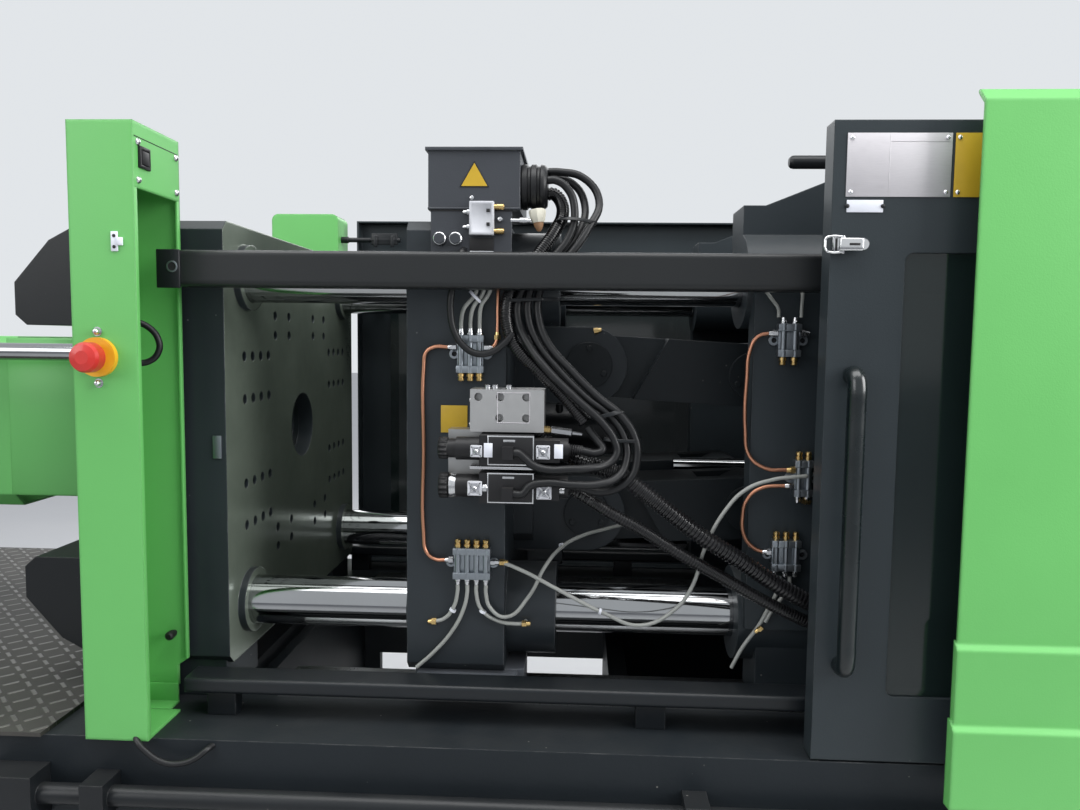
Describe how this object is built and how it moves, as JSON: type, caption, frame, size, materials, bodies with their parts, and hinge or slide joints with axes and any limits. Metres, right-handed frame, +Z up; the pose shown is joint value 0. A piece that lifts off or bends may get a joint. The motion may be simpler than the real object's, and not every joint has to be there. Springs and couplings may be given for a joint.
{
  "type": "injection moulding machine",
  "caption": "Horizontal injection moulding machine with a double toggle clamp, platens on tie bars, sliding safety gates, an injection unit on guide rods and a long welded bed.",
  "frame": {"origin": "on the floor, under the middle of the machine", "axes": "+X along the machine towards the clamp's tail, +Y towards the operator's side, +Z up"},
  "size_m": [4.7, 1.088, 1.823],
  "materials": {
    "anthracite_paint": "satin enamel on castings and weldments",
    "platen_paint": "satin enamel, mould faces machined bright",
    "gate_paint": "fine textured powder coat",
    "green_paint": "fine textured powder coat",
    "grey_paint": "fine textured powder coat",
    "box_paint": "powder coat",
    "shoe_grey": "enamel",
    "satin_black": "satin",
    "ground_steel": "ground",
    "tread_steel": "dull checker plate",
    "bar_chrome": "polished",
    "latch_chrome": "polished",
    "zinc": "die cast",
    "manifold_aluminium": "anodised",
    "copper": "drawn tube",
    "nylon": "translucent",
    "valve_black": "moulded",
    "hose_black": "corrugated",
    "black_rubber": "matt",
    "yellow_plastic": "moulded",
    "red_plastic": "moulded",
    "smoked_pane": "clear polycarbonate in shade",
    "barrel_steel": "turned",
    "band_steel": "sheet",
    "hopper_steel": "sheet"
  },
  "bodies": {
    "bed": {"bed_sides": "anthracite_paint", "bed_walls": "anthracite_paint", "levelling_feet": "black_rubber", "slide_strips": "ground_steel", "tread_plate": "tread_steel", "bed_pipe": "satin_black", "fixed_platen": "platen_paint", "tie_bars": "bar_chrome", "tie_bar_anchors": "satin_black", "front_gate_post": "green_paint", "back_gate_post": "green_paint", "gate_rails": "satin_black", "stop_ring": "yellow_plastic", "tail_hood": "green_paint", "injection_guides": "bar_chrome", "control_panel": "grey_paint"},
    "stop_button": {"stop_button": "red_plastic"},
    "tail": {"tail_platen": "anthracite_paint", "adjusting_nuts": "ground_steel", "crosshead_guides": "bar_chrome", "clamp_cylinder": "satin_black", "tail_pins": "ground_steel", "tail_distributors": "zinc", "tail_tubes": "copper"},
    "upper_rear_link": {"upper_rear_link": "anthracite_paint", "upper_knee_pins": "ground_steel"},
    "lower_rear_link": {"lower_rear_link": "anthracite_paint", "lower_knee_pins": "ground_steel"},
    "upper_front_link": {"upper_front_link": "anthracite_paint"},
    "lower_front_link": {"lower_front_link": "anthracite_paint"},
    "upper_crosshead_link": {"upper_crosshead_link": "ground_steel"},
    "lower_crosshead_link": {"lower_crosshead_link": "ground_steel"},
    "crosshead": {"crosshead": "anthracite_paint", "piston_rod": "bar_chrome"},
    "moving_platen": {"moving_platen": "platen_paint", "platen_shoes": "shoe_grey", "platen_pins": "ground_steel", "electrical_box": "box_paint", "valve_manifold": "manifold_aluminium", "solenoid_valves": "valve_black", "distributors": "zinc", "copper_tubes": "copper", "nylon_tubes": "nylon", "control_hoses": "hose_black", "ribbed_hoses": "hose_black", "ejector_cylinder": "satin_black"},
    "ejector": {"ejector_rod": "bar_chrome"},
    "front_gate": {"front_gate": "gate_paint", "front_gate_window": "smoked_pane", "front_gate_handle": "satin_black"},
    "gate_latch": {"gate_latch": "latch_chrome"},
    "back_gate": {"back_gate": "gate_paint", "back_gate_window": "smoked_pane"},
    "carriage": {"carriage": "anthracite_paint", "barrel": "barrel_steel", "heater_bands": "band_steel", "hopper": "hopper_steel", "barrel_guard": "green_paint"},
    "injection_drive": {"injection_drive": "anthracite_paint"},
    "screw": {"screw": "ground_steel"}
  },
  "joints": [
    {"name": "stop_press", "type": "slide", "parent": "bed", "child": "stop_button", "axis": [0, 1, 0], "range_m": [0, 0.005], "stiffness_N_per_m": 1500},
    {"name": "mould_height", "type": "slide", "parent": "bed", "child": "tail", "axis": [1, 0, 0], "range_m": [-0.08, 0.15]},
    {"name": "clamp_fold", "type": "hinge", "parent": "upper_front_link", "child": "moving_platen", "pos_m": [0.925, 0, 1.305], "axis": [0, 1, 0], "range_deg": [0, 60]},
    {"name": "upper_rear_fold", "type": "hinge", "parent": "tail", "child": "upper_rear_link", "pos_m": [1.48423, 0, 1.305], "axis": [0, 1, 0], "range_deg": [0, 60]},
    {"name": "upper_knee", "type": "hinge", "parent": "upper_rear_link", "child": "upper_front_link", "pos_m": [1.20462, 0, 1.29035], "axis": [0, -1, 0], "range_deg": [0, 120]},
    {"name": "lower_rear_fold", "type": "hinge", "parent": "tail", "child": "lower_rear_link", "pos_m": [1.48423, 0, 1.045], "axis": [0, -1, 0], "range_deg": [0, 60]},
    {"name": "lower_knee", "type": "hinge", "parent": "lower_rear_link", "child": "lower_front_link", "pos_m": [1.20462, 0, 1.05965], "axis": [0, 1, 0], "range_deg": [0, 120]},
    {"name": "upper_crank", "type": "hinge", "parent": "upper_rear_link", "child": "upper_crosshead_link", "pos_m": [1.44829, 0, 1.2313], "axis": [0, -1, 0], "range_deg": [0, 120]},
    {"name": "lower_crank", "type": "hinge", "parent": "lower_rear_link", "child": "lower_crosshead_link", "pos_m": [1.44829, 0, 1.1187], "axis": [0, 1, 0], "range_deg": [0, 120]},
    {"name": "crosshead_pivot", "type": "hinge", "parent": "upper_crosshead_link", "child": "crosshead", "pos_m": [1.41234, 0, 1.305], "axis": [0, 1, 0], "range_deg": [0, 60]},
    {"name": "ejector_stroke", "type": "slide", "parent": "moving_platen", "child": "ejector", "axis": [-1, 0, 0], "range_m": [0, 0.1]},
    {"name": "front_gate_slide", "type": "slide", "parent": "bed", "child": "front_gate", "axis": [1, 0, 0], "range_m": [-0.925, 0]},
    {"name": "gate_latch_turn", "type": "hinge", "parent": "front_gate", "child": "gate_latch", "pos_m": [1.264, -0.49, 1.477], "axis": [0, 1, 0], "range_deg": [0, 90]},
    {"name": "back_gate_slide", "type": "slide", "parent": "bed", "child": "back_gate", "axis": [1, 0, 0], "range_m": [0, 0.888]},
    {"name": "carriage_slide", "type": "slide", "parent": "bed", "child": "carriage", "axis": [1, 0, 0], "range_m": [-0.25, 0]},
    {"name": "injection_stroke", "type": "slide", "parent": "carriage", "child": "injection_drive", "axis": [1, 0, 0], "range_m": [-0.16, 0]},
    {"name": "screw_turn", "type": "hinge", "parent": "injection_drive", "child": "screw", "pos_m": [-1.14, 0, 1.175], "axis": [1, 0, 0], "continuous": true}
  ],
  "couplings": [
    {"joint": "upper_rear_fold", "follows": "clamp_fold", "ratio": 1},
    {"joint": "upper_knee", "follows": "clamp_fold", "ratio": 2},
    {"joint": "lower_rear_fold", "follows": "clamp_fold", "ratio": 1},
    {"joint": "lower_knee", "follows": "clamp_fold", "ratio": 2},
    {"joint": "upper_crank", "follows": "clamp_fold", "ratio": 2},
    {"joint": "lower_crank", "follows": "clamp_fold", "ratio": 2},
    {"joint": "crosshead_pivot", "follows": "clamp_fold", "ratio": 1}
  ]
}
